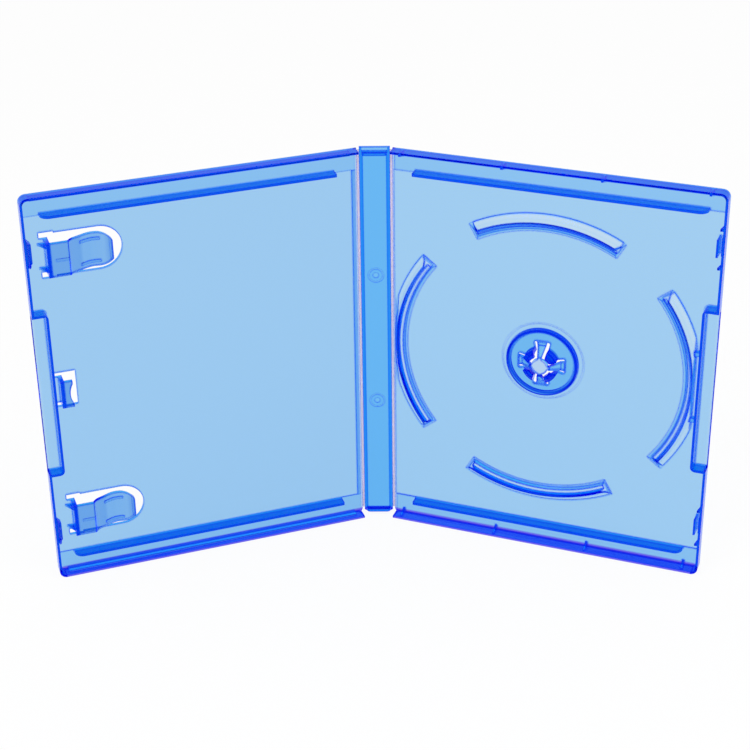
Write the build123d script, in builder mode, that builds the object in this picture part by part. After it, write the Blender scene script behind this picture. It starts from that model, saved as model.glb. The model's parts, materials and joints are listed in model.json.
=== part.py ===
from build123d import *
import os
from math import cos, radians, sin

# A moulded disc case that stands open like a book on its bottom edges.
# Each cover is drawn on its own plane: local x runs along the cover, local y is up, local z
# points from the outer face to the inside. Distances along a cover are counted from its hinge axis.

# Whole case
case_height = 170.0
cover_width = 134.8
cover_depth = 6.75
hinge_span = 13.3
open_angle = 19.6

# Moulded walls
floor_thick = 1.25
wall_thick = 1.0
band_thick = 1.65
corner_radius = 3.0
edge_round = 2.0
wall_start = 1.7
ledge_thick = 0.8
ledge_drop = 1.6
ledge_start = 4.8
cut_over = 1.0

# Living hinges
web_thick = 0.35
web_width = 1.05
web_inset = 1.6

# Long ribs beside the top and bottom walls
rib_inset = 8.3
rib_thick = 1.1
rib_start = 10.5
rib_end_gap = 7.4
rib_drop = 0.35
rib_nose = 3.6
rib_heel = 0.6
strip_start = 1.9
strip_width = 1.2
strip_rise = 0.45

# Thumb recess in the outer wall
recess_length = 70.3
recess_depth = 5.4
recess_round = 2.0

# Spine
spine_thick = 1.9
spine_end_thick = 1.35
spine_clear = 0.2
spine_wall_inset = 1.5
spine_wall_thick = 1.25
spine_wall_height = 4.4
spine_wall_half = 5.1
spine_wall_round = 1.5
spine_ring_pitch = 58.4
spine_ring_radius = 3.2
spine_ring_width = 0.5
spine_dot_radius = 1.2
spine_mark_depth = 0.25

# Booklet clips on the front cover, with places counted from the foot wall
clip_pitch = 117.2
clip_root_gap = 8.3
clip_thick = 1.6
clip_half_width = 7.0
clip_top = 7.2
clip_plate = 8.5
clip_bend = 9.9
clip_bend_level = 5.6
clip_ramp = 12.6
clip_ramp_level = 4.3
clip_low = 17.5
clip_low_level = 2.4
clip_rise = 22.0
clip_rise_level = 3.1
clip_reach = 25.8
clip_tip_level = 4.7
clip_lip = 2.2
clip_nose = 20.0
clip_foot = 1.7
window_half = 8.9
window_nose = 21.0
clip_relief_length = 5.6
clip_relief = 0.6
gusset_thick = 0.9
gusset_offset = 5.0
gusset_foot = 2.6
gusset_drop = 1.4
dash_width = 1.1
dash_height = 0.45
dash_offset = 4.7
dash_near = 13.2
dash_far = 21.1
dash_plate_length = 5.3

# Small middle clip
tab_half_width = 5.75
tab_gap = 1.75
tab_reach = 4.8
tab_level = 6.65
tab_hollow = 9.0
tab_hollow_depth = 1.2
tab_front_gap = 2.2

# Latches on the outer walls
latch_pitch = 124.7
block_half = 5.7
block_reach = 1.7
block_start = 3.6
block_slope = 1.8
block_rise = 1.4
block_lead = 0.5
latch_clear = 0.2
blade_length = 7.3
blade_thick = 0.8
blade_gap = 1.2
blade_drop = 0.35
blade_lean = 0.25
wedge_pitch = 16.0
wedge_thick = 1.0
wedge_reach = 1.2
catch_height = 4.6
catch_reach = 0.55

# Small ribs on the tray walls
tick_places = (5.3, 46.9, 86.6)
tick_end_gap = 6.9
tick_foot = 2.4
tick_reach = 0.9
tick_thick = 0.9
tick_height = 6.0

# Disc seat in the tray
hub_shift = 2.8
seat_level = 2.8
disc_radius = 60.0
disc_clear = 0.8
ledge_reach = 1.0
ledge_run = 1.4
ridge_width = 0.75
ridge_level = 4.7
slope_run = 3.45
slope_bow = 0.55
arc_skin = 0.9
arc_end_lean = 3.0
groove_end = 1.2
tall_arc_half = 38.5
wide_arc_half = 29.3
hinge_flat = 2.2
recess_flat_gap = 2.75
bridge_offset = 14.8
bridge_thick = 2.0

# Hub
hub_thick = 1.6
platform_radius = 14.9
platform_round = 0.5
crown_radius = 7.3
crown_bead = 0.2
crown_bead_level = 5.6
crown_level = 6.7
crown_shoulder = 5.8
crown_inner = 4.4
crown_lip_level = 6.35
slot_width = 1.3
arm_root = 9.7
arm_root_half = 2.15
arm_neck_half = 0.75
arm_ramp_start = 8.2
arm_ramp_end = 4.2
button_radius = 3.5
button_level = 6.3
button_round = 0.3
back_ring_radius = 17.1
back_ring_width = 0.4
back_ring_depth = 0.15

# Derived places
half_height = case_height / 2
edge_gap = web_width / 2
lean_y = sin(radians(open_angle))
lean_x = cos(radians(open_angle))
inner_wall = cover_width - wall_thick
recess_wall = cover_width - recess_depth
recess_flat = recess_wall - recess_flat_gap
rib_end = cover_width - rib_end_gap
rib_level = cover_depth - rib_drop
band_height = rib_inset + rib_thick
hub_place = cover_width / 2 - hub_shift
ledge_radius = disc_radius - ledge_reach
foot_radius = ledge_radius - ledge_run
ridge_radius = disc_radius + disc_clear
slope_radius = ridge_radius + ridge_width + slope_run
rim_drop = cover_width * lean_y + (cover_depth - web_thick / 2) * lean_x
block_level = cover_depth + block_rise
block_tip = inner_wall - latch_clear - block_lead / 2
block_drop = block_tip * lean_y + (block_level - web_thick / 2) * lean_x
axis_y = (max(rim_drop, block_drop) - web_thick / 2) / 2
half_span = hinge_span / 2
spine_back = axis_y + web_thick / 2
recess_low = half_height - recess_length / 2
recess_high = half_height + recess_length / 2
clip_root = cover_width - clip_root_gap
clip_back = clip_root - clip_thick
tongue = [
    (clip_root - clip_plate, clip_top),
    (clip_root - clip_bend, clip_bend_level),
    (clip_root - clip_ramp, clip_ramp_level),
    (clip_root - clip_low, clip_low_level),
    (clip_root - clip_rise, clip_rise_level),
    (clip_root - clip_reach, clip_tip_level),
]
tick_rows = tick_places + (cover_width - tick_end_gap,)
clip_heights = (half_height - clip_pitch / 2, half_height + clip_pitch / 2)
latch_heights = (half_height - latch_pitch / 2, half_height + latch_pitch / 2)

# Planes of the two covers and of the spine
front_in = Vector(lean_y, -lean_x, 0)
tray_in = Vector(-lean_y, -lean_x, 0)
front_leaf = Plane(
    origin=Vector(-half_span, axis_y, 0) - front_in * (web_thick / 2),
    x_dir=Vector(lean_x, lean_y, 0),
    z_dir=front_in,
)
tray_leaf = Plane(
    origin=Vector(half_span, axis_y, 0) - tray_in * (web_thick / 2),
    x_dir=Vector(lean_x, -lean_y, 0),
    z_dir=tray_in,
)
spine_leaf = Plane(origin=(0, spine_back, 0), x_dir=(1, 0, 0), z_dir=(0, -1, 0))
front_side = -1
tray_side = 1


def across(leaf, height):
    """Plane across a cover at a height, with local x along the cover and local y to the inside."""
    return Plane(origin=leaf.from_local_coords((0, height, 0)), x_dir=leaf.x_dir, z_dir=(0, 0, -1))


def upright(leaf, place):
    """Plane across the tray at a distance from its hinge axis, with local x up and local y to the inside."""
    return Plane(origin=leaf.from_local_coords((place, 0, 0)), x_dir=leaf.y_dir, z_dir=leaf.x_dir)


def block(side, near, far, low, high, mode=Mode.ADD):
    """Rectangle between two distances from the hinge axis and two heights, in the open sketch."""
    with Locations((side * (near + far) / 2, (low + high) / 2)):
        Rectangle(far - near, high - low, mode=mode)


def outline(side, corners):
    """Filled polygon through (distance, level) corners, in the open sketch."""
    with BuildLine() as edge:
        Polyline(*[(side * place, level) for place, level in corners], close=True)
    make_face(edge.edges())


def slab(leaf, side, near, far, low, high, start, end, mode=Mode.ADD):
    """Block standing on a cover between two levels."""
    with BuildSketch(leaf.offset(start)) as plan:
        block(side, near, far, low, high)
    extrude(plan.sketch, amount=end - start, mode=mode)


def web_section(leaf, side, height, thick, corners, mode=Mode.ADD):
    """Rib across a cover from a profile of (distance, level) corners, centred on a height."""
    with BuildSketch(across(leaf, height)) as profile:
        outline(side, corners)
    extrude(profile.sketch, amount=thick / 2, both=True, mode=mode)


def cover_shell(leaf, side, cover):
    """Cover with a rounded outer edge and a border wall that steps inward round the thumb recess."""
    with BuildSketch(leaf) as plate:
        block(side, edge_gap, cover_width, 0, case_height)
        fillet(plate.vertices().sort_by(Axis.X, reverse=side > 0)[:2], corner_radius)
    extrude(plate.sketch, amount=cover_depth)
    outer_face = cover.faces().sort_by(Axis(leaf.origin, leaf.z_dir))[0]
    hinge_edge = outer_face.edges().sort_by(Axis(leaf.origin, leaf.x_dir), reverse=side < 0)[0]
    fillet([e for e in outer_face.edges() if not e.is_same(hinge_edge)], edge_round)
    with BuildSketch(leaf.offset(floor_thick)) as inside:
        block(side, -cut_over, inner_wall, wall_thick, case_height - wall_thick)
        corners = inside.vertices().sort_by(Axis.X, reverse=side > 0)[:2]
        fillet(corners, corner_radius - wall_thick)
        block(
            side,
            recess_wall - wall_thick,
            cover_width,
            recess_low - wall_thick,
            recess_high + wall_thick,
            mode=Mode.SUBTRACT,
        )
        step = inside.vertices().filter_by(
            lambda v: abs(abs(v.X) - recess_wall + wall_thick) < wall_thick / 4
        )
        fillet(step, recess_round)
    extrude(inside.sketch, amount=cover_depth, mode=Mode.SUBTRACT)
    rim = cover_depth + cut_over
    slab(leaf, side, -cut_over, wall_start, -cut_over, case_height + cut_over, floor_thick, rim,
         mode=Mode.SUBTRACT)
    slab(leaf, side, recess_wall, cover_width + cut_over, recess_low, recess_high, floor_thick, rim,
         mode=Mode.SUBTRACT)


def cover_ribs(leaf, side):
    """Thick floor bands and the long ribs at their inner edges."""
    slab(leaf, side, edge_gap, inner_wall, wall_thick, band_height, floor_thick, band_thick)
    slab(
        leaf,
        side,
        edge_gap,
        inner_wall,
        case_height - band_height,
        case_height - wall_thick,
        floor_thick,
        band_thick,
    )
    rib_middle = rib_inset + rib_thick / 2
    for height in (rib_middle, case_height - rib_middle):
        with BuildSketch(across(leaf, height)) as profile:
            block(side, rib_start, rib_end, floor_thick, rib_level)
            fillet(profile.vertices().sort_by_distance((side * rib_end, rib_level))[0], rib_nose)
            fillet(profile.vertices().sort_by_distance((side * rib_start, rib_level))[0], rib_heel)
        extrude(profile.sketch, amount=rib_thick / 2, both=True)


def cover_hinge_edge(leaf, side):
    """Slope on the hinge side that leaves room for the spine when the cover folds."""
    rise = band_thick + strip_rise
    web_section(
        leaf,
        side,
        half_height,
        case_height + 2 * cut_over,
        [(edge_gap - cut_over, web_thick), (edge_gap, web_thick), (edge_gap + rise, web_thick + rise),
         (edge_gap - cut_over, web_thick + rise)],
        mode=Mode.SUBTRACT,
    )


def tongue_section(over, under):
    """Section between two curves that follow a clip's tongue, above and below its upper side."""
    with BuildSketch(across(front_leaf, 0)) as section:
        with BuildLine() as edge:
            upper = Spline(*[(front_side * place, level + over) for place, level in tongue])
            lower = Spline(*[(front_side * place, level - under) for place, level in tongue])
            Line(upper @ 0, lower @ 0)
            Line(upper @ 1, lower @ 1)
        make_face(edge.edges())
    return section.sketch


# One booklet clip, standing at height zero on the front cover's plane
with BuildPart() as booklet_clip:
    clip_step = clip_root - clip_plate
    clip_tip = clip_root - clip_reach
    web_section(
        front_leaf,
        front_side,
        0,
        2 * clip_half_width,
        [
            (clip_root + clip_foot, 0),
            (clip_root + clip_foot, floor_thick),
            (clip_root, floor_thick),
            (clip_root, clip_top),
            (clip_step, clip_top),
            (clip_step, clip_top - clip_thick),
            (clip_back, clip_top - clip_thick),
            (clip_back, 0),
        ],
    )
    extrude(tongue_section(0, clip_thick), amount=clip_half_width, both=True)
    web_section(
        front_leaf,
        front_side,
        0,
        2 * clip_half_width,
        [
            (clip_tip, clip_tip_level - clip_lip),
            (clip_tip + clip_thick / 2, clip_tip_level - clip_lip),
            (clip_tip + clip_thick, clip_tip_level - clip_thick),
            (clip_tip, clip_tip_level - clip_thick / 2),
        ],
    )
    with BuildSketch(front_leaf) as clip_plan:
        block(front_side, clip_root - clip_nose, clip_root + clip_foot, -clip_half_width, clip_half_width)
        with Locations((front_side * (clip_root - clip_nose), 0)):
            Circle(clip_half_width)
    extrude(clip_plan.sketch, amount=2 * cover_depth, mode=Mode.INTERSECT)
    for offset in (-gusset_offset, gusset_offset):
        web_section(
            front_leaf,
            front_side,
            offset,
            gusset_thick,
            [
                (clip_back, 0),
                (clip_root + gusset_foot, 0),
                (clip_root + gusset_foot, floor_thick),
                (clip_root, clip_top - gusset_drop),
                (clip_back, clip_top - gusset_drop),
            ],
        )
    dash_line = tongue_section(dash_height, clip_thick / 2)
    with BuildSketch(front_leaf) as dash_plan:
        for offset in (-dash_offset, dash_offset):
            block(
                front_side,
                clip_root - dash_far,
                clip_root - dash_near,
                offset - dash_width / 2,
                offset + dash_width / 2,
            )
    dash_body = extrude(dash_line, amount=clip_half_width, both=True, mode=Mode.PRIVATE)
    dash_columns = extrude(dash_plan.sketch, amount=2 * cover_depth, mode=Mode.PRIVATE)
    add(dash_body & dash_columns)
    web_section(
        front_leaf,
        front_side,
        0,
        dash_width,
        [
            (clip_step, clip_top - dash_height),
            (clip_step + dash_plate_length, clip_top - dash_height),
            (clip_step + dash_plate_length, clip_top + dash_height / 2),
            (clip_step, clip_top + dash_height / 2),
        ],
    )

# The small middle clip, standing at height zero on the front cover's plane
with BuildPart() as middle_clip:
    web_section(
        front_leaf,
        front_side,
        0,
        2 * tab_half_width,
        [
            (clip_root + clip_foot, 0),
            (clip_root + clip_foot, floor_thick),
            (clip_root, floor_thick),
            (clip_root, tab_level),
            (clip_root - tab_reach, tab_level),
            (clip_root - tab_reach, tab_level - clip_thick),
            (clip_back, tab_level - clip_thick),
            (clip_back, 0),
        ],
    )
    with BuildSketch(front_leaf.offset(floor_thick)) as hollow:
        with Locations((front_side * (clip_root - tab_reach + tab_hollow_depth - tab_hollow), 0)):
            Circle(tab_hollow)
    extrude(hollow.sketch, amount=cover_depth, mode=Mode.SUBTRACT)

# Front cover
with BuildPart() as front_cover:
    cover_shell(front_leaf, front_side, front_cover)
    cover_ribs(front_leaf, front_side)
    slab(
        front_leaf,
        front_side,
        strip_start,
        strip_start + strip_width,
        band_height,
        case_height - band_height,
        floor_thick,
        band_thick + strip_rise,
    )
    cover_hinge_edge(front_leaf, front_side)
    for low in (wall_thick, case_height - wall_thick - ledge_thick):
        slab(
            front_leaf,
            front_side,
            ledge_start,
            inner_wall - corner_radius,
            low,
            low + ledge_thick,
            floor_thick,
            cover_depth - ledge_drop,
        )
    for height in clip_heights:
        with BuildSketch(front_leaf) as window:
            with Locations((front_side * (clip_root - window_nose), height)):
                Circle(window_half)
            block(
                front_side,
                clip_root - window_nose,
                clip_root + clip_foot,
                height - window_half,
                height + window_half,
            )
            block(
                front_side,
                clip_root + clip_foot - clip_relief_length,
                clip_root + clip_foot,
                height - window_half - clip_relief,
                height + window_half + clip_relief,
            )
        extrude(window.sketch, amount=floor_thick, mode=Mode.SUBTRACT)
        add(booklet_clip.part.moved(Location((0, 0, height))))
    slab(
        front_leaf,
        front_side,
        clip_root - tab_reach - tab_front_gap,
        clip_root + clip_foot,
        half_height - tab_half_width - tab_gap,
        half_height + tab_half_width + tab_gap,
        0,
        floor_thick,
        mode=Mode.SUBTRACT,
    )
    add(middle_clip.part.moved(Location((0, 0, half_height))))
    for height in latch_heights:
        with BuildSketch(across(front_leaf, height)) as block_profile:
            outline(front_side, [
                (inner_wall - block_reach, block_start),
                (inner_wall + wall_thick / 2, block_start),
                (inner_wall + wall_thick / 2, cover_depth),
                (inner_wall - latch_clear, cover_depth),
                (inner_wall - latch_clear, block_level - block_lead),
                (block_tip, block_level),
                (inner_wall - blade_gap + latch_clear + block_lead / 2, block_level),
                (inner_wall - blade_gap + latch_clear, block_level - block_lead),
                (inner_wall - blade_gap + latch_clear, cover_depth),
                (inner_wall - block_reach, cover_depth - block_lead / 2),
            ])
        with BuildSketch(front_leaf) as block_plan:
            outline(front_side, [
                (inner_wall + wall_thick / 2, height - block_half),
                (inner_wall + wall_thick / 2, height + block_half),
                (inner_wall, height + block_half),
                (inner_wall - block_reach, height + block_half - block_slope),
                (inner_wall - block_reach, height - block_half + block_slope),
                (inner_wall, height - block_half),
            ])
        block_body = extrude(block_profile.sketch, amount=block_half, both=True, mode=Mode.PRIVATE)
        block_ends = extrude(block_plan.sketch, amount=2 * cover_depth, mode=Mode.PRIVATE)
        add(block_body & block_ends)

# Disc seat profile: distance from the hub axis and level above the outer face
slope_mid_radius = (ridge_radius + ridge_width + slope_radius) / 2
slope_mid_level = (ridge_level + floor_thick) / 2 - slope_bow
skin_lean = arc_skin * cos(radians(45))
arc_groove = [
    (ledge_radius + arc_skin / 2, 0),
    (ledge_radius + arc_skin / 2, seat_level - arc_skin),
    (ridge_radius + arc_skin / 4, seat_level - arc_skin),
    (ridge_radius + arc_skin / 2, ridge_level - 4 / 3 * arc_skin),
    (slope_mid_radius - skin_lean, slope_mid_level - skin_lean),
    (slope_radius - arc_skin / 2, floor_thick - 0.87 * arc_skin),
    (slope_radius - arc_skin / 3, 0),
]
seat_arcs = ((0, tall_arc_half), (90, wide_arc_half), (180, tall_arc_half), (270, wide_arc_half))

hub_axis = Axis(tray_leaf.from_local_coords((hub_place, half_height, 0)), tray_leaf.z_dir)


def hub_plane(turn):
    """Plane of the tray's outer face at the hub, with local x turned about the hub axis."""
    outward = tray_leaf.x_dir * cos(radians(turn)) + tray_leaf.y_dir * sin(radians(turn))
    return Plane(origin=hub_axis.position, x_dir=outward, z_dir=hub_axis.direction)


def hub_section(turn):
    """Plane through the hub axis, turned about it, with local x outward and local y to the inside."""
    face = hub_plane(turn)
    return Plane(origin=face.origin, x_dir=face.x_dir, z_dir=-face.y_dir)


def arc_ends(middle, half):
    """Slanted cuts at both ends of a curved wall of the disc seat."""
    lean = arc_end_lean * (cover_depth - floor_thick) / (ridge_level - floor_thick)
    for side in (-1, 1):
        face = hub_plane(middle + side * half)
        start = face.origin + face.x_dir * (foot_radius - cut_over)
        with BuildSketch(Plane(origin=start, x_dir=face.y_dir, z_dir=face.x_dir)) as wedge:
            outline(side, [(cut_over, floor_thick), (0, floor_thick), (-lean, cover_depth),
                           (cut_over, cover_depth)])
        extrude(wedge.sketch, amount=slope_radius - foot_radius + 2 * cut_over, mode=Mode.SUBTRACT)


def seat_arc(middle, half):
    """One curved wall of the disc seat, with slanted ends."""
    with BuildSketch(hub_section(middle - half)) as ridge:
        with BuildLine() as edge:
            Polyline(
                (slope_radius, floor_thick),
                (slope_radius, floor_thick / 2),
                (foot_radius, floor_thick / 2),
                (foot_radius, floor_thick),
                (ledge_radius, seat_level),
                (ridge_radius - ridge_width / 3, seat_level),
                (ridge_radius, ridge_level),
                (ridge_radius + ridge_width, ridge_level),
            )
            ThreePointArc(
                (ridge_radius + ridge_width, ridge_level),
                (slope_mid_radius, slope_mid_level),
                (slope_radius, floor_thick),
            )
        make_face(edge.edges())
    revolve(ridge.sketch, axis=hub_axis, revolution_arc=2 * half)
    arc_ends(middle, half)


def seat_groove(middle, half):
    """Hollow that leaves an even skin behind one curved wall of the disc seat."""
    with BuildSketch(hub_section(middle - half)) as groove:
        outline(1, arc_groove)
    revolve(groove.sketch, axis=hub_axis, revolution_arc=2 * half)
    arc_ends(middle, half)


def seat_flats(skin):
    """Flat cuts beside the hinge and beside the thumb recess, moved towards the hub by a skin."""
    for near, far in (
        (-slope_radius, hinge_flat + skin),
        (recess_flat - skin, recess_flat + slope_radius),
    ):
        slab(tray_leaf, tray_side, near, far, 0, case_height, 0, cover_depth, mode=Mode.SUBTRACT)


# Half width of the hub's cut-outs, in line with the arms' sides
arm_taper = (arm_root_half - arm_neck_half) / (arm_root - button_radius)


def arm_plan(turn, side_gap, start):
    """Tapering arm outline on the tray's plane, widened by a gap on each side."""
    root = arm_root_half + side_gap
    neck = arm_root_half - arm_taper * (arm_root - start) + side_gap
    with BuildSketch(hub_plane(turn)) as plan:
        outline(1, [(start, -neck), (arm_root, -root), (arm_root, root), (start, neck)])
        if side_gap:
            fillet(plan.vertices().sort_by(Axis.X)[-2:], side_gap / 2)
    return plan.sketch


# Curved walls of the disc seat, cut flat beside the hinge and beside the thumb recess
with BuildPart() as disc_seat:
    for middle, half in seat_arcs:
        seat_arc(middle, half)
    seat_flats(0)

with BuildPart() as disc_grooves:
    for middle, half in seat_arcs:
        seat_groove(middle, half - groove_end)
    seat_flats(arc_skin)

# Tray cover
with BuildPart() as disc_tray:
    cover_shell(tray_leaf, tray_side, disc_tray)
    add(disc_seat.part)
    add(disc_grooves.part, mode=Mode.SUBTRACT)
    cover_ribs(tray_leaf, tray_side)
    cover_hinge_edge(tray_leaf, tray_side)
    for offset in (-bridge_offset, bridge_offset):
        slab(
            tray_leaf,
            tray_side,
            recess_flat - cut_over,
            recess_wall - wall_thick / 2,
            half_height + offset - bridge_thick / 2,
            half_height + offset + bridge_thick / 2,
            floor_thick,
            seat_level,
        )
    for place in tick_rows:
        with BuildSketch(upright(tray_leaf, place)) as ticks:
            for edge, inward in ((0, 1), (case_height, -1)):
                with BuildLine() as tick_edge:
                    Polyline(
                        (edge + inward * wall_thick / 2, floor_thick / 2),
                        (edge + inward * (wall_thick + tick_foot), floor_thick / 2),
                        (edge + inward * (wall_thick + tick_reach), tick_height),
                        (edge + inward * wall_thick / 2, tick_height),
                        close=True,
                    )
                make_face(tick_edge.edges())
        extrude(ticks.sketch, amount=tick_thick / 2, both=True)
    for height in latch_heights:
        web_section(
            tray_leaf,
            tray_side,
            height,
            blade_length,
            [
                (inner_wall - blade_gap, floor_thick / 2),
                (inner_wall - blade_gap - blade_thick, floor_thick / 2),
                (inner_wall - blade_gap - blade_thick - blade_lean, cover_depth - blade_drop),
                (inner_wall - blade_gap - blade_lean, cover_depth - blade_drop),
            ],
        )
        slab(
            tray_leaf,
            tray_side,
            inner_wall - catch_reach,
            inner_wall + wall_thick / 2,
            height - blade_length / 2,
            height + blade_length / 2,
            floor_thick,
            catch_height,
        )
        for offset in (-wedge_pitch / 2, wedge_pitch / 2):
            web_section(
                tray_leaf,
                tray_side,
                height + offset,
                wedge_thick,
                [
                    (inner_wall, floor_thick / 2),
                    (inner_wall + wall_thick / 2, floor_thick / 2),
                    (inner_wall + wall_thick / 2, cover_depth),
                    (inner_wall - wedge_reach, cover_depth),
                ],
            )
    with BuildSketch(hub_section(0)) as opening:
        outline(1, [(0, -cut_over), (platform_radius - hub_thick / 2, -cut_over),
                    (platform_radius - hub_thick / 2, 2 * floor_thick), (0, 2 * floor_thick)])
    revolve(opening.sketch, axis=hub_axis, revolution_arc=360, mode=Mode.SUBTRACT)
    with BuildSketch(hub_section(0)) as hub_profile:
        outline(1, [
            (platform_radius, 0),
            (platform_radius, seat_level - platform_round),
            (platform_radius - platform_round, seat_level),
            (crown_radius, seat_level),
            (crown_radius, crown_bead_level - 2 * crown_bead),
            (crown_radius + crown_bead, crown_bead_level),
            (crown_shoulder, crown_level),
            (crown_inner, crown_lip_level),
            (crown_inner, crown_lip_level - hub_thick),
            (crown_shoulder - hub_thick / 4, crown_level - hub_thick),
            (crown_radius - hub_thick, crown_bead_level - hub_thick),
            (crown_radius - hub_thick, seat_level - hub_thick),
            (platform_radius - hub_thick, seat_level - hub_thick),
            (platform_radius - hub_thick, 0),
        ])
    revolve(hub_profile.sketch, axis=hub_axis, revolution_arc=360)
    for turn in (0, 90, 180, 270):
        extrude(arm_plan(turn, slot_width, crown_inner / 2), amount=crown_level + cut_over, mode=Mode.SUBTRACT)
    with BuildSketch(hub_plane(0)) as back_ring:
        Circle(back_ring_radius)
        Circle(back_ring_radius - back_ring_width, mode=Mode.SUBTRACT)
    extrude(back_ring.sketch, amount=back_ring_depth, mode=Mode.SUBTRACT)

# Hub button with the four narrow arms that carry it
with BuildPart() as hub_button:
    with BuildSketch(hub_section(0)) as button_profile:
        outline(1, [
            (0, button_level - hub_thick),
            (button_radius, button_level - hub_thick),
            (button_radius, button_level - button_round),
            (button_radius - button_round, button_level),
            (0, button_level),
        ])
    revolve(button_profile.sketch, axis=hub_axis, revolution_arc=360)
    for turn in (0, 90, 180, 270):
        with BuildSketch(hub_section(turn)) as arm_profile:
            outline(1, [
                (arm_root, seat_level - hub_thick),
                (arm_root, seat_level),
                (arm_ramp_start, seat_level),
                (arm_ramp_end, button_level),
                (button_radius / 2, button_level),
                (button_radius / 2, button_level - hub_thick),
                (arm_ramp_end - hub_thick / 3, button_level - hub_thick),
                (arm_ramp_start - hub_thick / 3, seat_level - hub_thick),
            ])
        arm_body = extrude(arm_profile.sketch, amount=arm_root, both=True, mode=Mode.PRIVATE)
        arm_sides = extrude(arm_plan(turn, 0, button_radius / 2), amount=crown_level + cut_over, mode=Mode.PRIVATE)
        add(arm_body & arm_sides)

# Spine strip with sloped edges, two end walls and two round moulding marks
with BuildPart() as spine:
    slope = spine_thick - web_thick
    with BuildSketch(across(spine_leaf, half_height)) as strip:
        edge_half = half_span - edge_gap
        outline(1, [
            (-edge_half, 0),
            (edge_half, 0),
            (edge_half, web_thick),
            (edge_half - slope, spine_thick),
            (slope - edge_half, spine_thick),
            (-edge_half, web_thick),
        ])
    extrude(strip.sketch, amount=half_height - spine_clear, both=True)
    for low, high in (
        (-cut_over, spine_wall_inset),
        (case_height - spine_wall_inset, case_height + cut_over),
    ):
        slab(spine_leaf, 1, -half_span, half_span, low, high, spine_end_thick, spine_wall_height,
             mode=Mode.SUBTRACT)
    for low in (spine_wall_inset, case_height - spine_wall_inset - spine_wall_thick):
        with BuildSketch(across(spine_leaf, low + spine_wall_thick / 2)) as end_wall:
            block(1, -spine_wall_half, spine_wall_half, web_thick, spine_wall_height)
            fillet(end_wall.vertices().sort_by(Axis.Y)[-2:], spine_wall_round)
        extrude(end_wall.sketch, amount=spine_wall_thick / 2, both=True)
    for height in (half_height - spine_ring_pitch / 2, half_height + spine_ring_pitch / 2):
        with BuildSketch(spine_leaf.offset(spine_thick)) as mark:
            with Locations((0, height)):
                Circle(spine_ring_radius)
                Circle(spine_ring_radius - spine_ring_width, mode=Mode.SUBTRACT)
                Circle(spine_dot_radius)
        extrude(mark.sketch, amount=-spine_mark_depth, mode=Mode.SUBTRACT)


def fold_web(leaf, side):
    """Thin bent strip that joins the spine's edge to a cover's edge."""
    cover_outer = leaf.from_local_coords((side * edge_gap, 0, 0))
    cover_inner = leaf.from_local_coords((side * edge_gap, 0, web_thick))
    bend = web_thick / 2 * sin(radians(open_angle / 2)) / cos(radians(open_angle / 2))
    spine_edge = side * (half_span - edge_gap)
    with BuildSketch(Plane.XY.offset(web_inset)) as strip:
        with BuildLine() as edge:
            Polyline(
                (spine_edge, spine_back),
                (side * (half_span + bend), spine_back),
                (cover_outer.X, cover_outer.Y),
                (cover_inner.X, cover_inner.Y),
                (side * (half_span - bend), spine_back - web_thick),
                (spine_edge, spine_back - web_thick),
                close=True,
            )
        make_face(edge.edges())
    extrude(strip.sketch, amount=case_height - 2 * web_inset)


with BuildPart() as front_hinge:
    fold_web(front_leaf, front_side)

with BuildPart() as rear_hinge:
    fold_web(tray_leaf, tray_side)

os.makedirs("parts", exist_ok=True)

front_cover.part.label = "front_cover"
spine.part.label = "spine"
disc_tray.part.label = "disc_tray"
hub_button.part.label = "hub_button"
front_hinge.part.label = "front_hinge"
rear_hinge.part.label = "rear_hinge"

export_step(front_cover.part, "parts/front_cover.step")
export_step(spine.part, "parts/spine.step")
export_step(disc_tray.part, "parts/disc_tray.step")
export_step(hub_button.part, "parts/hub_button.step")
export_step(front_hinge.part, "parts/front_hinge.step")
export_step(rear_hinge.part, "parts/rear_hinge.step")
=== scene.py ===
"""Dresses an open, translucent disc case and sets it on a white studio floor."""

import json
import logging
import math
from dataclasses import dataclass, replace
from enum import Enum
from typing import ClassVar

import bmesh
import bpy
from mathutils import Matrix, Vector

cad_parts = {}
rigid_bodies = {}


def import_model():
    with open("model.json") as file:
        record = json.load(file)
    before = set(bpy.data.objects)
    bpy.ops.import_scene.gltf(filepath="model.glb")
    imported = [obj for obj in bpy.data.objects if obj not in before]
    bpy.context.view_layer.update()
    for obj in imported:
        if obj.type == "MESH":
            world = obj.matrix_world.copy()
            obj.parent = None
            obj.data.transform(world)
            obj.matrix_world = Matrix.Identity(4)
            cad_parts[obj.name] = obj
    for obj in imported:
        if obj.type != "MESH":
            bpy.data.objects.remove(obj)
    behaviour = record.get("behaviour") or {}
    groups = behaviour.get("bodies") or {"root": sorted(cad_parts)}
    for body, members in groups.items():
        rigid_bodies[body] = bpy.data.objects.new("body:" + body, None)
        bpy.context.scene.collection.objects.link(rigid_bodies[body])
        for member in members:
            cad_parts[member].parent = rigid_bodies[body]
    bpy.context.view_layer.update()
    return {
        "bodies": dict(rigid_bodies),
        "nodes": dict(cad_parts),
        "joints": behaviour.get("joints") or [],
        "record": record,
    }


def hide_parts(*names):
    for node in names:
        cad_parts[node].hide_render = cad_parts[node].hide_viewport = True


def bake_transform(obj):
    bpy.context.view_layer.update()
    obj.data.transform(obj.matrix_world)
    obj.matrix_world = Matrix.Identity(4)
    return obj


log = logging.getLogger("disc_case")

Triple = tuple[float, float, float]
Term = bpy.types.NodeSocket | float

MM = 0.001
# Points that are closer than this, in metres, count as one.
MERGE = 1e-7
WHITE: Triple = (1.0, 1.0, 1.0)


class Body(Enum):
    """The bodies of the case that pieces can ride on."""

    SPINE = "spine"
    FRONT = "front_cover"
    TRAY = "disc_tray"
    BUTTON = "hub_button"


class Side(Enum):
    """Which way a cover runs from the spine."""

    FRONT = -1
    TRAY = 1


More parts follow.
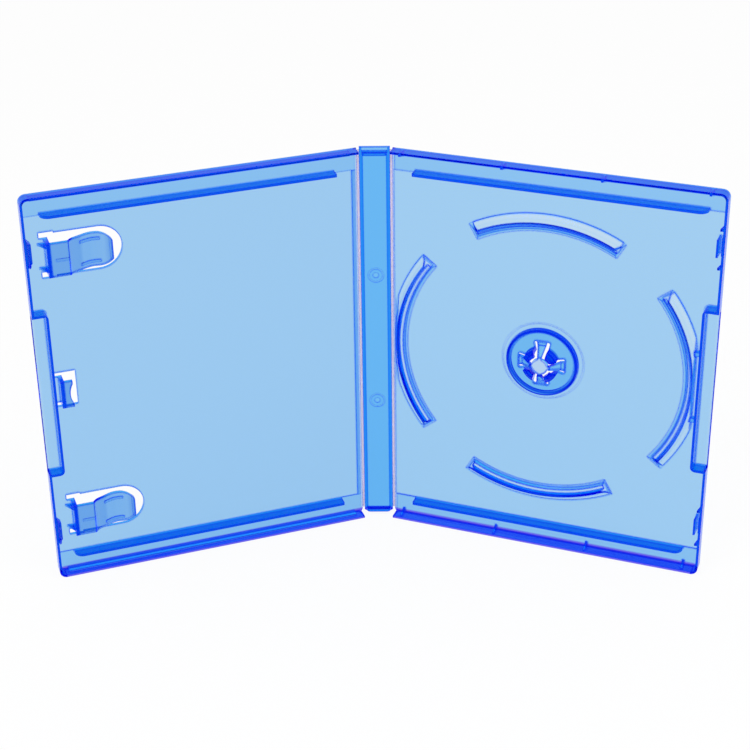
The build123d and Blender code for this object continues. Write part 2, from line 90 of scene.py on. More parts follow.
@dataclass(frozen=True)
class Leaf:
    """Frame of one cover, counted in millimetres from its hinge axis.

    Attributes:
        side: The way in which the cover runs from the spine.
        half_span: Distance of the hinge axis from the middle of the spine.
        axis_depth: Place of the hinge axis along Y.
        fold_angle: Angle of the cover against the spine, in degrees.
        skin: Thickness of the fold web, whose middle line is the hinge axis.
    """

    side: Side
    half_span: float = 6.65
    axis_depth: float = 26.0352
    fold_angle: float = 19.6
    skin: float = 0.35

    @property
    def along(self) -> Vector:
        """Direction from the hinge axis to the outer edge."""
        turn = math.radians(self.fold_angle)
        return Vector((self.side.value * math.cos(turn), -math.sin(turn), 0.0))

    @property
    def inward(self) -> Vector:
        """Direction from the outer face to the inside of the case."""
        turn = math.radians(self.fold_angle)
        return Vector((-self.side.value * math.sin(turn), -math.cos(turn), 0.0))

    def point(self, place: float, height: float, level: float) -> Vector:
        """Finds a point on the cover.

        Args:
            place: Distance from the hinge axis along the cover.
            height: Height above the floor.
            level: Distance from the outer face towards the inside.

        Returns:
            The point in metres, in the shared frame.
        """
        axis = Vector((self.side.value * self.half_span, self.axis_depth, height))
        return (axis + self.along * place + self.inward * (level - self.skin / 2)) * MM


class Finish:
    """Small helper base for the finishes, with the node set-up that they share.

    Attributes:
        flow_scale: Scale of the broad changes of gloss.
        flow_detail: Number of finer layers in them.
        flow_range: Lowest and highest value of their noise that counts.
        grain_scale: Scale of the fine waviness.
        grain_detail: Number of finer layers in it.
        grain_height: Height of the waviness, in metres.
    """

    flow_scale: ClassVar[float] = 45.0
    flow_detail: ClassVar[float] = 3.0
    flow_range: ClassVar[tuple[float, float]] = (0.3, 0.7)
    grain_scale: ClassVar[float] = 420.0
    grain_detail: ClassVar[float] = 2.0
    grain_height: ClassVar[float] = 0.0002

    def start(self, name: str) -> tuple[bpy.types.Material, bpy.types.NodeTree, bpy.types.Node]:
        """Makes an empty node material with one Principled shader.

        Args:
            name: Name of the material.

        Returns:
            The material, its node tree and the shader node.
        """
        material = bpy.data.materials.new(name)
        material.use_nodes = True
        tree = material.node_tree
        shader = tree.nodes["Principled BSDF"]
        return material, tree, shader

    def moulded_skin(
        self, tree: bpy.types.NodeTree, shader: bpy.types.Node, polish: tuple[float, float], bump: float
    ) -> None:
        """Adds the slight waviness and uneven gloss of a moulded face.

        Args:
            tree: Node tree of the material.
            shader: Shader that takes roughness and normal.
            polish: Roughness of the most polished and of the dullest places.
            bump: Strength of the waviness.
        """
        place = self.object_place(tree)
        flow = tree.nodes.new("ShaderNodeTexNoise")
        flow.inputs["Scale"].default_value = self.flow_scale
        flow.inputs["Detail"].default_value = self.flow_detail
        tree.links.new(place, flow.inputs["Vector"])
        gloss = tree.nodes.new("ShaderNodeMapRange")
        gloss.inputs["From Min"].default_value = self.flow_range[0]
        gloss.inputs["From Max"].default_value = self.flow_range[1]
        gloss.inputs["To Min"].default_value = polish[0]
        gloss.inputs["To Max"].default_value = polish[1]
        tree.links.new(flow.outputs["Fac"], gloss.inputs["Value"])
        tree.links.new(gloss.outputs["Result"], shader.inputs["Roughness"])
        grain = tree.nodes.new("ShaderNodeTexNoise")
        grain.inputs["Scale"].default_value = self.grain_scale
        grain.inputs["Detail"].default_value = self.grain_detail
        tree.links.new(place, grain.inputs["Vector"])
        wave = tree.nodes.new("ShaderNodeBump")
        wave.inputs["Strength"].default_value = bump
        wave.inputs["Distance"].default_value = self.grain_height
        tree.links.new(grain.outputs["Fac"], wave.inputs["Height"])
        tree.links.new(wave.outputs["Normal"], shader.inputs["Normal"])

    def object_place(self, tree: bpy.types.NodeTree) -> bpy.types.NodeSocket:
        """Gives the place of a point in its object's own frame."""
        return tree.nodes.new("ShaderNodeTexCoord").outputs["Object"]

    def vector_math(
        self,
        tree: bpy.types.NodeTree,
        kind: str,
        first: bpy.types.NodeSocket,
        second: bpy.types.NodeSocket | Triple | None = None,
    ) -> bpy.types.NodeOutputs:
        """Adds a vector math node.

        Args:
            tree: Node tree of the material.
            kind: Operation of the node.
            first: First vector.
            second: Second vector, where the operation takes two.

        Returns:
            The outputs of the node.
        """
        node = tree.nodes.new("ShaderNodeVectorMath")
        node.operation = kind
        tree.links.new(first, node.inputs[0])
        if isinstance(second, bpy.types.NodeSocket):
            tree.links.new(second, node.inputs[1])
        elif second is not None:
            node.inputs[1].default_value = second
        return node.outputs

    def tint_ramp(
        self, tree: bpy.types.NodeTree, share: bpy.types.NodeSocket, stops: list[tuple[float, Triple]]
    ) -> bpy.types.NodeSocket:
        """Turns a share into a tint.

        Args:
            tree: Node tree of the material.
            share: Socket with a value from zero to one.
            stops: Tints and their places, the first at zero and the last at one.

        Returns:
            Socket with the tint.
        """
        ramp = tree.nodes.new("ShaderNodeValToRGB")
        marks = ramp.color_ramp.elements
        marks[0].color = (*stops[0][1], 1.0)
        marks[1].color = (*stops[-1][1], 1.0)
        for place, tint in stops[1:-1]:
            marks.new(place).color = (*tint, 1.0)
        tree.links.new(share, ramp.inputs["Fac"])
        return ramp.outputs["Color"]


@dataclass(frozen=True)
class ClearBlue(Finish):
    """Clear blue moulded plastic, pale on broad faces and deep blue where it is looked through edgeways,
    with a painted shade line along its edges and painted shade near the floor.

    Attributes:
        name: Name of the material.
        inward: Direction that the broad faces look along.
        face: Tint of the broad faces.
        wall: Tint of walls and ribs.
        edge: Painted deep blue line along edges, standing in for the dark outlines that refraction and
            light carried from far inside the plastic give there.
        floor_shade: Painted shade on the lowest walls, which stand on the floor and get little light from
            below.
        mirror: Tint of the mirror gloss.
        loss: Light lost per metre of plastic, for red, green and blue.
        broad: Lean of a face, as a cosine, from which it counts as broad.
        steep: Lean of a face, as a cosine, from which it counts as a wall.
        wall_share: Place of the wall tint between the broad faces and the edges.
        edge_width: Width of the painted shade line along an edge, in metres.
        edge_samples: Number of probes for the faces near an edge.
        edge_start: Turn of the face near an edge, as a cosine, at which the line starts.
        edge_full: Turn of the face near an edge, as a cosine, at which the line is deepest.
        floor_shade_low: Height up to which the painted shade on the lowest walls is full, in metres.
        floor_shade_high: Height at which it has ended, in metres.
        ior: Refractive index, set low so that faces seen edgeways mirror little.
        polish: Roughness of the most polished and of the dullest places.
        bump: Strength of the waviness.
    """

    name: str
    inward: Triple
    face: Triple = (0.94, 0.875, 0.88)
    wall: Triple = (0.012, 0.4, 0.97)
    edge: Triple = (0.0005, 0.02, 0.96)
    floor_shade: Triple = (0.3, 0.08, 0.9)
    mirror: Triple = (0.0, 0.1, 0.6)
    loss: Triple = (750.0, 285.0, 3.0)
    broad: float = 0.75
    steep: float = 0.25
    wall_share: float = 0.7
    edge_width: float = 0.0011
    edge_samples: int = 4
    edge_start: float = 0.95
    edge_full: float = 0.8
    floor_shade_low: float = 0.0011
    floor_shade_high: float = 0.0018
    ior: float = 1.22
    polish: tuple[float, float] = (0.03, 0.07)
    bump: float = 0.03

    def edge_shade_share(self, tree: bpy.types.NodeTree) -> bpy.types.NodeSocket:
        """Finds how near a point is to an edge, for the painted shade line along it.

        Args:
            tree: Node tree of the material.

        Returns:
            Socket that is one along edges and zero elsewhere.
        """
        # Painted shade: the Bevel node only finds the edges, which get a deep blue line.
        rounded = tree.nodes.new("ShaderNodeBevel")
        rounded.samples = self.edge_samples
        rounded.inputs["Radius"].default_value = self.edge_width
        plain = tree.nodes.new("ShaderNodeNewGeometry")
        match = self.vector_math(tree, "DOT_PRODUCT", rounded.outputs["Normal"], plain.outputs["Normal"])
        return self.ramped(tree, match["Value"], self.edge_start, self.edge_full, 1.0)

    def face_lean(self, tree: bpy.types.NodeTree) -> bpy.types.NodeSocket:
        """Finds how a face leans against the broad faces.

        Args:
            tree: Node tree of the material.

        Returns:
            Socket with the cosine of the angle between the two.
        """
        coords = tree.nodes.new("ShaderNodeTexCoord")
        return self.vector_math(tree, "DOT_PRODUCT", coords.outputs["Normal"], self.inward)["Value"]

    def ramped(
        self, tree: bpy.types.NodeTree, value: bpy.types.NodeSocket, low: float, high: float, top: float
    ) -> bpy.types.NodeSocket:
        """Turns the size of a value into a soft step.

        Args:
            tree: Node tree of the material.
            value: Socket with the value, whose sign does not count.
            low: Size at which the step starts.
            high: Size at which the step ends.
            top: Height of the step.

        Returns:
            Socket with the step.
        """
        size = tree.nodes.new("ShaderNodeMath")
        size.operation = "ABSOLUTE"
        tree.links.new(value, size.inputs[0])
        step = tree.nodes.new("ShaderNodeMapRange")
        step.interpolation_type = "SMOOTHSTEP"
        step.inputs["From Min"].default_value = low
        step.inputs["From Max"].default_value = high
        step.inputs["To Max"].default_value = top
        tree.links.new(size.outputs[0], step.inputs["Value"])
        return step.outputs["Result"]

    def body_tint(self, tree: bpy.types.NodeTree) -> bpy.types.NodeSocket:
        """Lets the colour deepen from the broad faces over the walls to the painted shade line along the
        edges.

        Args:
            tree: Node tree of the material.

        Returns:
            Socket with the colour.
        """
        deeper = tree.nodes.new("ShaderNodeMath")
        deeper.operation = "MAXIMUM"
        walls = self.ramped(tree, self.face_lean(tree), self.broad, self.steep, self.wall_share)
        tree.links.new(walls, deeper.inputs[0])
        tree.links.new(self.edge_shade_share(tree), deeper.inputs[1])
        stops = [(0.0, self.face), (self.wall_share, self.wall), (1.0, self.edge)]
        return self.tint_ramp(tree, deeper.outputs[0], stops)

    def floor_shade_tint(self, tree: bpy.types.NodeTree) -> bpy.types.NodeSocket:
        """Gives the painted shade near the floor by the height above it.

        Args:
            tree: Node tree of the material.

        Returns:
            Socket with the colour, deep blue as painted shade on the lowest walls and white above them.
        """
        split = tree.nodes.new("ShaderNodeSeparateXYZ")
        tree.links.new(self.object_place(tree), split.inputs[0])
        # Painted shade: the walls that stand on the floor are tinted deep blue.
        share = self.ramped(tree, split.outputs["Z"], self.floor_shade_low, self.floor_shade_high, 1.0)
        return self.tint_ramp(tree, share, [(0.0, self.floor_shade), (1.0, WHITE)])

    def zone_tints(self, tree: bpy.types.NodeTree) -> list[bpy.types.NodeSocket]:
        """Gives the colours of zones with thicker plastic, which a plain part has none of."""
        return []

    def build(self) -> bpy.types.Material:
        """Makes the material."""
        material, tree, shader = self.start(self.name)
        tint = self.body_tint(tree)
        # The painted shade near the floor and the zones of thicker plastic deepen the tint.
        for zone in (self.floor_shade_tint(tree), *self.zone_tints(tree)):
            tint = self.vector_math(tree, "MULTIPLY", tint, zone)["Vector"]
        tree.links.new(tint, shader.inputs["Base Color"])
        shader.inputs["Transmission Weight"].default_value = 1.0
        shader.inputs["IOR"].default_value = self.ior
        shader.inputs["Specular Tint"].default_value = (*self.mirror, 1.0)
        self.moulded_skin(tree, shader, self.polish, self.bump)
        depth = tree.nodes.new("ShaderNodeVolumeAbsorption")
        most = max(self.loss)
        depth.inputs["Color"].default_value = (*[1.0 - share / most for share in self.loss], 1.0)
        depth.inputs["Density"].default_value = most
        output = tree.nodes["Material Output"]
        tree.links.new(depth.outputs["Volume"], output.inputs["Volume"])
        return material


@dataclass(frozen=True)
class ClearBlueClips(ClearBlue):
    """Plastic of the front cover, deeper on the clips that stand above its floor.

    Attributes:
        floor_spot: A point on the outer face, in metres.
        floor_top: Level of the floor's inner face, in metres.
        clip_low: Level from which the deeper tint is full, in metres.
        raised: Tint above the floor.
    """

    floor_spot: Triple = (0.0, 0.0, 0.0)
    floor_top: float = 0.0017
    clip_low: float = 0.0025
    raised: Triple = (0.6, 0.72, 0.93)

    def zone_tints(self, tree: bpy.types.NodeTree) -> list[bpy.types.NodeSocket]:
        """Gives the colour of broad faces by their level above the outer face.

        Args:
            tree: Node tree of the material.

        Returns:
            A list with the one socket that has the colour.
        """
        offset = self.vector_math(tree, "SUBTRACT", self.object_place(tree), self.floor_spot)
        level = self.vector_math(tree, "DOT_PRODUCT", offset["Vector"], self.inward)
        above = self.ramped(tree, level["Value"], self.floor_top, self.clip_low, 1.0)
        faces = self.ramped(tree, self.face_lean(tree), self.steep, self.broad, 1.0)
        share = tree.nodes.new("ShaderNodeMath")
        share.operation = "MULTIPLY"
        tree.links.new(above, share.inputs[0])
        tree.links.new(faces, share.inputs[1])
        return [self.tint_ramp(tree, share.outputs[0], [(0.0, WHITE), (1.0, self.raised)])]


@dataclass(frozen=True)
class ClearBlueHub(ClearBlue):
    """Plastic of the disc tray, deeper on the hub's platform and deepest at its crown and rim.

    Attributes:
        hub_spot: A point on the hub's axis, in metres.
        button_radius: Radius of the button, in metres.
        crown_inner: Inner radius of the crown, in metres.
        crown_outer: Outer radius of the crown, in metres.
        rim_inner: Inner radius of the ring wall, in metres.
        rim_outer: Outer radius of the ring wall, in metres.
        platform: Tint of the platform.
        crown: Tint of the crown.
        rim: Tint over the ring wall.
        span: Radius at which the tint has ended, in metres.
        soft: Width of the change from one tint to the next, in metres.
    """

    hub_spot: Triple = (0.0, 0.0, 0.0)
    button_radius: float = 0.0036
    crown_inner: float = 0.0044
    crown_outer: float = 0.0075
    rim_inner: float = 0.0138
    rim_outer: float = 0.015
    platform: Triple = (0.62, 0.88, 0.99)
    crown: Triple = (0.04, 0.2, 0.93)
    rim: Triple = (0.004, 0.06, 0.85)
    span: float = 0.02
    soft: float = 0.0002

    def zone_tints(self, tree: bpy.types.NodeTree) -> list[bpy.types.NodeSocket]:
        """Gives the colour by the distance from the hub's axis.

        Args:
            tree: Node tree of the material.

        Returns:
            A list with the one socket that has the colour.
        """
        offset = self.vector_math(tree, "SUBTRACT", self.object_place(tree), self.hub_spot)
        across = self.vector_math(tree, "CROSS_PRODUCT", offset["Vector"], self.inward)
        radius = self.vector_math(tree, "LENGTH", across["Vector"])
        share = tree.nodes.new("ShaderNodeMath")
        share.operation = "DIVIDE"
        share.use_clamp = True
        share.inputs[1].default_value = self.span
        tree.links.new(radius["Value"], share.inputs[0])
        rings = (
            (0.0, WHITE),
            (self.button_radius, WHITE),
            (self.button_radius + self.soft, self.platform),
            (self.crown_inner - self.soft, self.platform),
            (self.crown_inner, self.crown),
            (self.crown_outer, self.crown),
            (self.crown_outer + self.soft, self.platform),
            (self.rim_inner - self.soft, self.platform),
            (self.rim_inner + self.soft, self.rim),
            (self.rim_outer - self.soft, self.rim),
            (self.rim_outer, WHITE),
            (self.span, WHITE),
        )
        stops = [(place / self.span, tint) for place, tint in rings]
        return [self.tint_ramp(tree, share.outputs[0], stops)]


@dataclass(frozen=True)
class FoldedSkin(Finish):
    """Thin plastic of the living hinges, whitened by folding.

    Attributes:
        tint: Colour of the whitened skin.
        clear: Share of light that passes.
        ior: Refractive index.
        polish: Roughness of the most polished and of the dullest places.
        bump: Strength of the waviness.
    """

    tint: Triple = (0.85, 0.77, 0.93)
    clear: float = 0.55
    ior: float = 1.49
    polish: tuple[float, float] = (0.3, 0.45)
    bump: float = 0.08

    def build(self) -> bpy.types.Material:
        """Makes the material."""
        material, tree, shader = self.start("whitened_fold_skin")
        shader.inputs["Base Color"].default_value = (*self.tint, 1.0)
        shader.inputs["Transmission Weight"].default_value = self.clear
        shader.inputs["IOR"].default_value = self.ior
        self.moulded_skin(tree, shader, self.polish, self.bump)
        return material


@dataclass
class FoldWeb:
    """Thin strip that bends between the spine and one cover.

    Attributes:
        leaf: Frame of the cover that the strip joins.
        node: Name of the CAD node that the strip stands for.
        cover: Body of that cover; not used.
        low: Height of the strip's lower end.
        high: Height of the strip's upper end.
        reach: Distance from the hinge axis to either edge of the strip.
        thin: Share of the thickness that is missing along the fold line.
        points_across: Number of points across the strip.
        points_upright: Number of points along the strip.
        weld: Distance within which the front and the back are joined, in metres.
    """

    leaf: Leaf
    node: str
    cover: Body
    low: float = 1.6
    high: float = 168.4
    reach: float = 0.525
    thin: float = 0.3
    points_across: int = 13
    points_upright: int = 41
    weld: float = 1e-6

    def tree(self, material: bpy.types.Material) -> bpy.types.GeometryNodeTree:
        """Builds the node tree that bends a flat grid along the fold and gives it thickness.

        Args:
            material: Finish of the strip.

        Returns:
            The geometry node tree.
        """
        tree = bpy.data.node_groups.new(f"{self.node}_strip", "GeometryNodeTree")
        faces = tree.interface
        faces.new_socket("Geometry", in_out="INPUT", socket_type="NodeSocketGeometry")
        for name in ("Edge", "Depth", "Radius", "Angle", "Side", "Low", "Height", "Thick", "Thin"):
            faces.new_socket(name, in_out="INPUT", socket_type="NodeSocketFloat")
        faces.new_socket("Geometry", in_out="OUTPUT", socket_type="NodeSocketGeometry")
        make = tree.nodes.new
        link = tree.links.new
        given = make("NodeGroupInput")

        def calc(kind: str, first: Term, second: Term | None = None) -> bpy.types.NodeSocket:
            """Adds a math node on two sockets or numbers and returns its result."""
            node = make("ShaderNodeMath")
            node.operation = kind
            for socket, value in zip(node.inputs, (first, second)):
                if isinstance(value, bpy.types.NodeSocket):
                    link(value, socket)
                elif value is not None:
                    socket.default_value = value
            return node.outputs[0]

        grid = make("GeometryNodeMeshGrid")
        grid.inputs["Size X"].default_value = 1.0
        grid.inputs["Size Y"].default_value = 1.0
        grid.inputs["Vertices X"].default_value = self.points_across
        grid.inputs["Vertices Y"].default_value = self.points_upright
        spot = make("GeometryNodeInputPosition")
        split = make("ShaderNodeSeparateXYZ")
        link(spot.outputs[0], split.inputs[0])
        half_grid = 0.5
        share = calc("ADD", split.outputs["X"], half_grid)
        turn = calc("MULTIPLY", share, given.outputs["Angle"])
        across = calc("MULTIPLY", calc("SINE", turn), given.outputs["Radius"])
        across = calc("MULTIPLY", calc("ADD", across, given.outputs["Edge"]), given.outputs["Side"])
        fall = calc("SUBTRACT", 1.0, calc("COSINE", turn))
        depth = calc("SUBTRACT", given.outputs["Depth"], calc("MULTIPLY", fall, given.outputs["Radius"]))
        rise = calc("MULTIPLY", calc("ADD", split.outputs["Y"], half_grid), given.outputs["Height"])
        rise = calc("ADD", rise, given.outputs["Low"])
        place = make("ShaderNodeCombineXYZ")
        link(across, place.inputs["X"])
        link(depth, place.inputs["Y"])
        link(rise, place.inputs["Z"])
        bend = make("GeometryNodeSetPosition")
        link(grid.outputs["Mesh"], bend.inputs["Geometry"])
        link(place.outputs[0], bend.inputs["Position"])
        keep = make("GeometryNodeCaptureAttribute")
        keep.capture_items.new("FLOAT", "Share")
        link(bend.outputs[0], keep.inputs["Geometry"])
        arch = calc("MULTIPLY", share, calc("SUBTRACT", 1.0, share))
        arch_to_one = 4.0
        middle = calc("MULTIPLY", arch, arch_to_one)
        factor = calc("SUBTRACT", 1.0, calc("MULTIPLY", middle, given.outputs["Thin"]))
        link(factor, keep.inputs["Share"])
        wall = make("GeometryNodeExtrudeMesh")
        wall.inputs["Individual"].default_value = False
        link(keep.outputs["Geometry"], wall.inputs["Mesh"])
        link(calc("MULTIPLY", keep.outputs["Share"], given.outputs["Thick"]), wall.inputs["Offset Scale"])
        back = make("GeometryNodeFlipFaces")
        link(keep.outputs["Geometry"], back.inputs["Mesh"])
        both = make("GeometryNodeJoinGeometry")
        link(wall.outputs["Mesh"], both.inputs[0])
        link(back.outputs["Mesh"], both.inputs[0])
        weld = make("GeometryNodeMergeByDistance")
        weld.inputs["Distance"].default_value = self.weld
        link(both.outputs[0], weld.inputs["Geometry"])
        plain = make("GeometryNodeRealizeInstances")
        link(weld.outputs[0], plain.inputs[0])
        dress = make("GeometryNodeSetMaterial")
        dress.inputs["Material"].default_value = material
        link(plain.outputs[0], dress.inputs["Geometry"])
        result = make("NodeGroupOutput")
        link(dress.outputs[0], result.inputs[0])
        return tree

    def build(self, material: bpy.types.Material) -> bpy.types.Object:
        """Makes the strip between the spine and the cover and hides the CAD node that it stands for.

        Args:
            material: Finish of the strip.

        Returns:
            The finished strip.
        """
        leaf = self.leaf
        angle = math.radians(leaf.fold_angle)
        sizes = {
            "Edge": (leaf.half_span - self.reach) * MM,
            "Depth": (leaf.axis_depth + leaf.skin / 2) * MM,
            "Radius": (self.reach / math.tan(angle / 2) + leaf.skin / 2) * MM,
            "Angle": angle,
            "Side": float(leaf.side.value),
            "Low": self.low * MM,
            "Height": (self.high - self.low) * MM,
            "Thick": leaf.skin * MM * leaf.side.value,
            "Thin": self.thin,
        }
        strip = grown_by_nodes(f"{self.node}_skin", self.tree(material), sizes, material)
        recalculate_outside(strip.data)
        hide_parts(self.node)
        middle = (self.low + self.high) / 2
        end = leaf.point(self.reach, middle, leaf.skin / 2)
        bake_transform(strip)
        return strip


@dataclass
class HubSpring:
    """Round button of the hub and the four narrow arms that bend when it is pressed.

    Attributes:
        leaf: Frame of the tray.
        place: Distance of the hub from the hinge axis.
        height: Height of the hub above the floor.
        arm_reach: Distance from the hub's axis to the far end of an arm.
        arm_gap: Hair gap at that end, which keeps two faces from lying in one place.
        seat: Level of the platform from which the arms rise.
        crown: Level at which the arms reach the button.
        cuts: Number of cross cuts that let the arms bend.
    """

    leaf: Leaf
    place: float = 64.6
    height: float = 85.0
    arm_reach: float = 9.7
    arm_gap: float = 0.02
    seat: float = 2.8
    crown: float = 4.7
    cuts: int = 9

    def build(self, source: bpy.types.Object, material: bpy.types.Material) -> bpy.types.Object:
        """Copies the CAD shape, cuts it across and puts it in place of the CAD button.

        Args:
            source: CAD node of the button.
            material: Finish of the button.

        Returns:
            The finished button.
        """
        mesh = source.data.copy()
        mesh.name = "hub_spring"
        shape = bmesh.new()
        shape.from_mesh(mesh)
        bmesh.ops.remove_doubles(shape, verts=shape.verts, dist=MERGE)
        axis = self.leaf.inward
        middle = self.leaf.point(self.place, self.height, 0.0)
        for spot in shape.verts:
            for way in (self.leaf.along, Vector((0.0, 0.0, 1.0))):
                reach = (spot.co - middle).dot(way)
                if abs(reach) > (self.arm_reach - self.arm_gap) * MM:
                    spot.co -= way * math.copysign(self.arm_gap * MM, reach)
        for step in range(self.cuts):
            level = self.seat + (self.crown - self.seat) * (step + 0.5) / self.cuts
            spot = self.leaf.point(self.place, self.height, level)
            everything = shape.verts[:] + shape.edges[:] + shape.faces[:]
            bmesh.ops.bisect_plane(shape, geom=everything, dist=MERGE, plane_co=spot, plane_no=axis)
        shape.to_mesh(mesh)
        shape.free()
        mesh.materials.clear()
        mesh.materials.append(material)
        spring = link_piece("hub_spring", mesh)
        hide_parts(Body.BUTTON.value)
        start = self.leaf.point(self.place, self.height, self.seat)
        end = self.leaf.point(self.place, self.height, self.crown)
        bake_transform(spring)
        return spring


@dataclass(frozen=True)
class Lamp:
    """Square soft lamp that faces the case.

    Attributes:
        name: Name of the lamp.
        place: Position in metres.
        power: Power in watts.
        size: Edge length in metres.
        aim: Point that the lamp faces, in metres.
    """

    name: str
    place: Triple
    power: float
    size: float = 0.9
    aim: Triple = (0.0, 0.0, 0.08)

    def build(self) -> None:
        """Puts the lamp into the scene."""
        data = bpy.data.lights.new(self.name, "AREA")
        data.size = self.size
        data.energy = self.power
        lamp = bpy.data.objects.new(self.name, data)
        lamp.location = self.place
        ahead = Vector(self.aim) - Vector(self.place)
        lamp.rotation_euler = ahead.to_track_quat("-Z", "Y").to_euler()
        bpy.context.scene.collection.objects.link(lamp)


@dataclass
class Studio:
    """White floor, white surroundings, two soft lamps and the camera.

    Attributes:
        lens: Focal length in millimetres.
        sensor: Width of the camera's sensor in millimetres.
        clip: Nearest and farthest distance that the camera shows, in metres.
        camera_place: Camera position in metres.
        yaw: Turn of the camera to the right, in degrees.
        pitch: Tilt of the camera downwards, in degrees.
        roll: Turn of the camera about its own axis, in degrees.
        world_light: Strength of the white surroundings as a light.
        world_show: Strength of the white surroundings where they are seen.
        floor_half: Half the width of the floor in metres.
        floor_grey: Share of light that the floor throws back.
        floor_rough: Roughness of the floor.
        floor_show: Share of the floor's white that ignores shadows.
        wall_passes: How often a light path may pass or meet a wall of clear plastic.
        lamps: The soft lamps.
    """

    lens: float = 90.226
    sensor: float = 36.0
    clip: tuple[float, float] = (0.01, 50.0)
    camera_place: Triple = (0.009644, -0.666242, 0.446852)
    yaw: float = -0.875
    pitch: float = 28.754
    roll: float = -0.781
    world_light: float = 0.7
    world_show: float = 1.0
    floor_half: float = 4.0
    floor_grey: float = 0.9
    floor_rough: float = 0.9
    floor_show: float = 0.92
    wall_passes: int = 96
    lamps: tuple[Lamp, ...] = (
        Lamp("soft_key", (-0.7, -0.9, 1.1), 9.0),
        Lamp("soft_fill", (0.9, -0.6, 0.8), 5.0),
    )

    def seen_directly(self, tree: bpy.types.NodeTree) -> bpy.types.NodeSocket:
        """Adds a switch that is one for rays from the camera, from mirror faces and through clear faces.

        Args:
            tree: Node tree that gets the switch.

        Returns:
            The socket with the switch's value.
        """
        path = tree.nodes.new("ShaderNodeLightPath")
        seen = path.outputs["Is Camera Ray"]
        for kind in ("Is Glossy Ray", "Is Transmission Ray"):
            either = tree.nodes.new("ShaderNodeMath")
            either.operation = "MAXIMUM"
            tree.links.new(seen, either.inputs[0])
            tree.links.new(path.outputs[kind], either.inputs[1])
            seen = either.outputs[0]
        return seen

    def surroundings(self) -> None:
        """Makes a white world that lights the scene a little less than it shows."""
        world = bpy.data.worlds.new("white_surroundings")
        world.use_nodes = True
        tree = world.node_tree
        ground = tree.nodes["Background"]
        ground.inputs["Color"].default_value = (*WHITE, 1.0)
        strength = tree.nodes.new("ShaderNodeMapRange")
        strength.inputs["To Min"].default_value = self.world_light
        strength.inputs["To Max"].default_value = self.world_show
        tree.links.new(self.seen_directly(tree), strength.inputs["Value"])
        tree.links.new(strength.outputs["Result"], ground.inputs["Strength"])
        bpy.context.scene.world = world

    def floor(self) -> None:
        """Makes the plain white floor, which keeps a faint shadow of the case."""
        mesh = bpy.data.meshes.new("floor")
        half = self.floor_half
        spots = [(-half, -half, 0.0), (half, -half, 0.0), (half, half, 0.0), (-half, half, 0.0)]
        mesh.from_pydata(spots, [], [(0, 1, 2, 3)])
        ground = link_piece("floor", mesh)
        material = bpy.data.materials.new("white_floor")
        material.use_nodes = True
        tree = material.node_tree
        shader = tree.nodes["Principled BSDF"]
        shader.inputs["Base Color"].default_value = (self.floor_grey, self.floor_grey, self.floor_grey, 1.0)
        shader.inputs["Roughness"].default_value = self.floor_rough
        shader.inputs["Specular IOR Level"].default_value = 0.0
        glow = tree.nodes.new("ShaderNodeEmission")
        glow.inputs["Color"].default_value = (*WHITE, 1.0)
        glow.inputs["Strength"].default_value = 1.0
        share = tree.nodes.new("ShaderNodeMath")
        share.operation = "MULTIPLY"
        share.inputs[1].default_value = self.floor_show
        tree.links.new(self.seen_directly(tree), share.inputs[0])
        mix = tree.nodes.new("ShaderNodeMixShader")
        tree.links.new(share.outputs[0], mix.inputs["Fac"])
        tree.links.new(shader.outputs["BSDF"], mix.inputs[1])
        tree.links.new(glow.outputs["Emission"], mix.inputs[2])
        tree.links.new(mix.outputs["Shader"], tree.nodes["Material Output"].inputs["Surface"])
        mesh.materials.append(material)

    def camera(self) -> None:
        """Makes the camera at the place and angle of the photograph."""
        yaw, pitch, roll = (math.radians(value) for value in (self.yaw, self.pitch, self.roll))
        ahead = Vector((math.sin(yaw) * math.cos(pitch), math.cos(yaw) * math.cos(pitch), -math.sin(pitch)))
        level = Vector((math.cos(yaw), -math.sin(yaw), 0.0))
        upright = level.cross(ahead)
        right = level * math.cos(roll) + upright * math.sin(roll)
        up = upright * math.cos(roll) - level * math.sin(roll)
        data = bpy.data.cameras.new("camera")
        data.lens = self.lens
        data.sensor_width = self.sensor
        data.clip_start, data.clip_end = self.clip
        camera = bpy.data.objects.new("camera", data)
        turn = Matrix((right, up, -ahead)).transposed().to_4x4()
        camera.matrix_world = Matrix.Translation(self.camera_place) @ turn
        bpy.context.scene.collection.objects.link(camera)
        bpy.context.scene.camera = camera

    def build(self) -> None:
        """Makes the whole studio."""
        scene = bpy.context.scene
        scene.view_settings.view_transform = "Standard"
        scene.cycles.max_bounces = self.wall_passes
        scene.cycles.transmission_bounces = self.wall_passes
        scene.cycles.glossy_bounces = self.wall_passes
        self.surroundings()
        self.floor()
        for lamp in self.lamps:
            lamp.build()
        self.camera()


def link_piece(name: str, mesh: bpy.types.Mesh) -> bpy.types.Object:
    """Puts a mesh into the scene as an object at the origin.

    Args:
        name: Name of the object.
        mesh: Mesh with its place in its points.

    Returns:
        The new object.
    """
    piece = bpy.data.objects.new(name, mesh)
    bpy.context.scene.collection.objects.link(piece)
    return piece


def recalculate_outside(mesh: bpy.types.Mesh) -> None:
    """Joins the doubled points of a closed mesh and turns all its faces outwards."""
    shape = bmesh.new()
    shape.from_mesh(mesh)
    bmesh.ops.remove_doubles(shape, verts=shape.verts, dist=MERGE)
    bmesh.ops.recalc_face_normals(shape, faces=shape.faces)
    shape.to_mesh(mesh)
    shape.free()


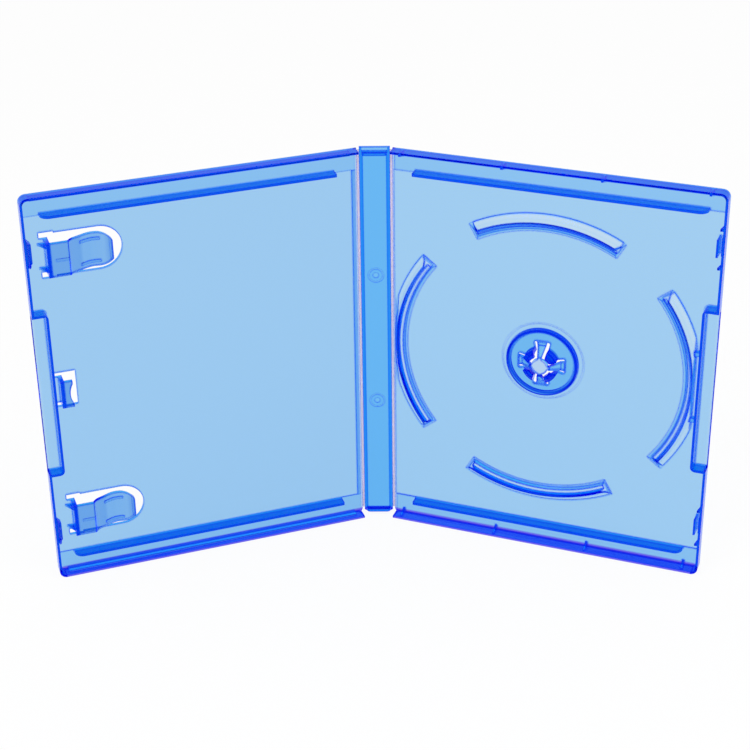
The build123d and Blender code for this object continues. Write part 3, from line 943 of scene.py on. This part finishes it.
def grown_by_nodes(
    name: str, tree: bpy.types.GeometryNodeTree, sizes: dict[str, float], material: bpy.types.Material
) -> bpy.types.Object:
    """Runs a geometry node tree once and keeps its result as a plain mesh.

    Args:
        name: Name of the piece.
        tree: Tree that makes the piece.
        sizes: Values of the tree's named inputs.
        material: The one finish of the piece.

    Returns:
        The piece, with no modifier left on it.
    """
    seed = link_piece(f"{name}_seed", bpy.data.meshes.new(f"{name}_seed"))
    grow = seed.modifiers.new("grow", "NODES")
    grow.node_group = tree
    for socket in tree.interface.items_tree:
        if socket.item_type == "SOCKET" and socket.in_out == "INPUT" and socket.name in sizes:
            grow[socket.identifier] = sizes[socket.name]
    evaluated = seed.evaluated_get(bpy.context.evaluated_depsgraph_get())
    mesh = bpy.data.meshes.new_from_object(evaluated)
    mesh.name = name
    mesh.materials.clear()
    mesh.materials.append(material)
    seed.modifiers.remove(grow)
    bpy.data.objects.remove(seed)
    return link_piece(name, mesh)


@dataclass
class DiscCase:
    """The whole case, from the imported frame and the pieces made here.

    Attributes:
        frame: The loaded frame.
        front: Frame of the front cover.
        tray: Frame of the disc tray.
        fold: Finish of the two fold webs.
    """

    frame: dict
    front: Leaf = Leaf(Side.FRONT)
    tray: Leaf = Leaf(Side.TRAY)
    fold: FoldedSkin = FoldedSkin()

    def plastics(self) -> dict[Body, ClearBlue]:
        """Gives the clear plastic of each moulded body."""
        tray = ClearBlueHub(
            "clear_blue_tray",
            tuple(self.tray.inward),
            face=(1.0, 0.91, 0.89),
            broad=0.5,
            edge_start=0.996,
            edge_full=0.93,
            hub_spot=tuple(self.tray.point(HubSpring.place, HubSpring.height, 0.0)),
        )
        arms = (0.35, 0.76, 0.98)
        return {
            Body.FRONT: ClearBlueClips(
                "clear_blue_front",
                tuple(self.front.inward),
                floor_spot=tuple(self.front.point(0.0, 0.0, 0.0)),
            ),
            Body.TRAY: tray,
            Body.SPINE: ClearBlue(
                "clear_blue_spine",
                (0.0, -1.0, 0.0),
                face=(0.65, 0.85, 0.91),
                wall=(0.004, 0.16, 0.93),
                broad=0.98,
                steep=0.9,
            ),
            Body.BUTTON: replace(
                tray,
                name="clear_blue_button",
                loss=(430.0, 190.0, 3.0),
                platform=arms,
                crown=arms,
            ),
        }

    def dress(self) -> None:
        """Gives every part its finish and makes the fold webs and the hub's spring."""
        made = {}
        for body, plastic in self.plastics().items():
            made[body] = plastic.build()
            self.frame["nodes"][body.value].data.materials[0] = made[body]
            log.info("dressed %s", body.value)
        pale = self.fold.build()
        webs = (
            FoldWeb(self.front, "front_hinge", Body.FRONT),
            FoldWeb(self.tray, "rear_hinge", Body.TRAY),
        )
        for web in webs:
            log.info("made %s", web.build(pale).name)
        spring = HubSpring(self.tray).build(self.frame["nodes"][Body.BUTTON.value], made[Body.BUTTON])
        log.info("made %s", spring.name)


def main() -> None:
    """Loads the frame, dresses the case and sets the studio."""
    logging.basicConfig(level=logging.INFO)
    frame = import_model()
    DiscCase(frame).dress()
    Studio().build()


if __name__ == "__main__":
    main()
